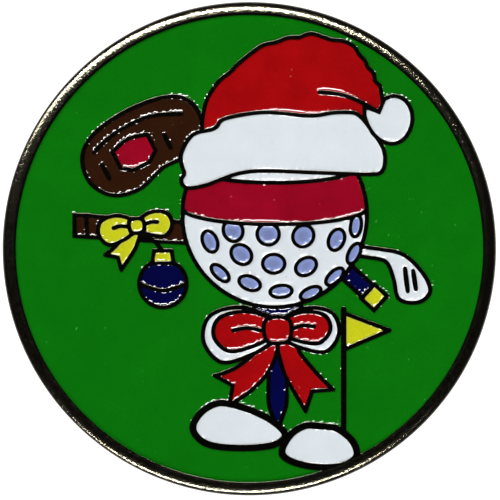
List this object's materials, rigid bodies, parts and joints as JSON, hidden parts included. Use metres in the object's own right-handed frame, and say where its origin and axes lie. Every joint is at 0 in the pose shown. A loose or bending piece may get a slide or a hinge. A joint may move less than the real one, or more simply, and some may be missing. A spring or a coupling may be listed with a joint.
{
  "type": "ball marker",
  "caption": "Round golf ball marker: a struck metal disc with a crowned rim and raised lines that wall off pools of coloured soft enamel. Festive golf still life on the face, flat back.",
  "frame": {"origin": "centre of the flat back face, which is also the bottom of the object as it lies on the green", "axes": "+Z out of the enamelled face, +Y towards the top of the artwork, +X towards the artwork's right"},
  "size_m": [0.0254, 0.0254, 0.0016],
  "materials": {
    "gunmetal": "black-nickel plating over struck metal, polished on the lines and the rim",
    "enamel_green": "baked soft enamel, glossy",
    "enamel_red": "baked soft enamel, glossy",
    "enamel_crimson": "baked soft enamel, glossy",
    "enamel_white": "baked soft enamel, glossy",
    "enamel_lilac": "baked soft enamel, glossy",
    "enamel_brown": "baked soft enamel, glossy",
    "enamel_yellow": "baked soft enamel, glossy",
    "enamel_navy": "baked soft enamel, glossy"
  },
  "bodies": {
    "root": {"enamel_ball_01": "enamel_white", "enamel_ball_02": "enamel_white", "enamel_bauble_01": "enamel_navy", "enamel_bauble_02": "enamel_navy", "enamel_bauble_cap": "enamel_yellow", "enamel_bow_knot": "enamel_red", "enamel_bow_loop_left": "enamel_red", "enamel_bow_loop_right": "enamel_red", "enamel_bow_tail_left": "enamel_red", "enamel_bow_tail_right": "enamel_red", "enamel_bow_trim_left": "enamel_white", "enamel_bow_trim_right": "enamel_white", "enamel_dimple_01": "enamel_lilac", "enamel_dimple_02": "enamel_lilac", "enamel_dimple_03": "enamel_lilac", "enamel_dimple_04": "enamel_lilac", "enamel_dimple_05": "enamel_lilac", "enamel_dimple_06": "enamel_lilac", "enamel_dimple_07": "enamel_lilac", "enamel_dimple_08": "enamel_lilac", "enamel_dimple_09": "enamel_lilac", "enamel_dimple_10": "enamel_lilac", "enamel_dimple_11": "enamel_lilac", "enamel_dimple_12": "enamel_lilac", "enamel_dimple_13": "enamel_lilac", "enamel_dimple_14": "enamel_lilac", "enamel_dimple_15": "enamel_lilac", "enamel_field_01": "enamel_green", "enamel_field_02": "enamel_green", "enamel_field_03": "enamel_green", "enamel_flag": "enamel_yellow", "enamel_hat_brim": "enamel_white", "enamel_hat_crown": "enamel_red", "enamel_hat_pompom": "enamel_white", "enamel_iron_grip_01": "enamel_brown", "enamel_iron_grip_02": "enamel_brown", "enamel_iron_grip_03": "enamel_brown", "enamel_iron_head": "enamel_white", "enamel_ribbon_knot": "enamel_yellow", "enamel_ribbon_loop_left": "enamel_yellow", "enamel_ribbon_loop_right": "enamel_yellow", "enamel_ribbon_tail": "enamel_yellow", "enamel_snow_left": "enamel_white", "enamel_snow_right": "enamel_white", "enamel_stripe": "enamel_crimson", "enamel_tee_01": "enamel_navy", "enamel_tee_02": "enamel_navy", "enamel_wood_butt": "enamel_yellow", "enamel_wood_grip": "enamel_navy", "enamel_wood_head": "enamel_brown", "enamel_wood_insert": "enamel_crimson", "struck_disc": "gunmetal"}
  },
  "joints": []
}
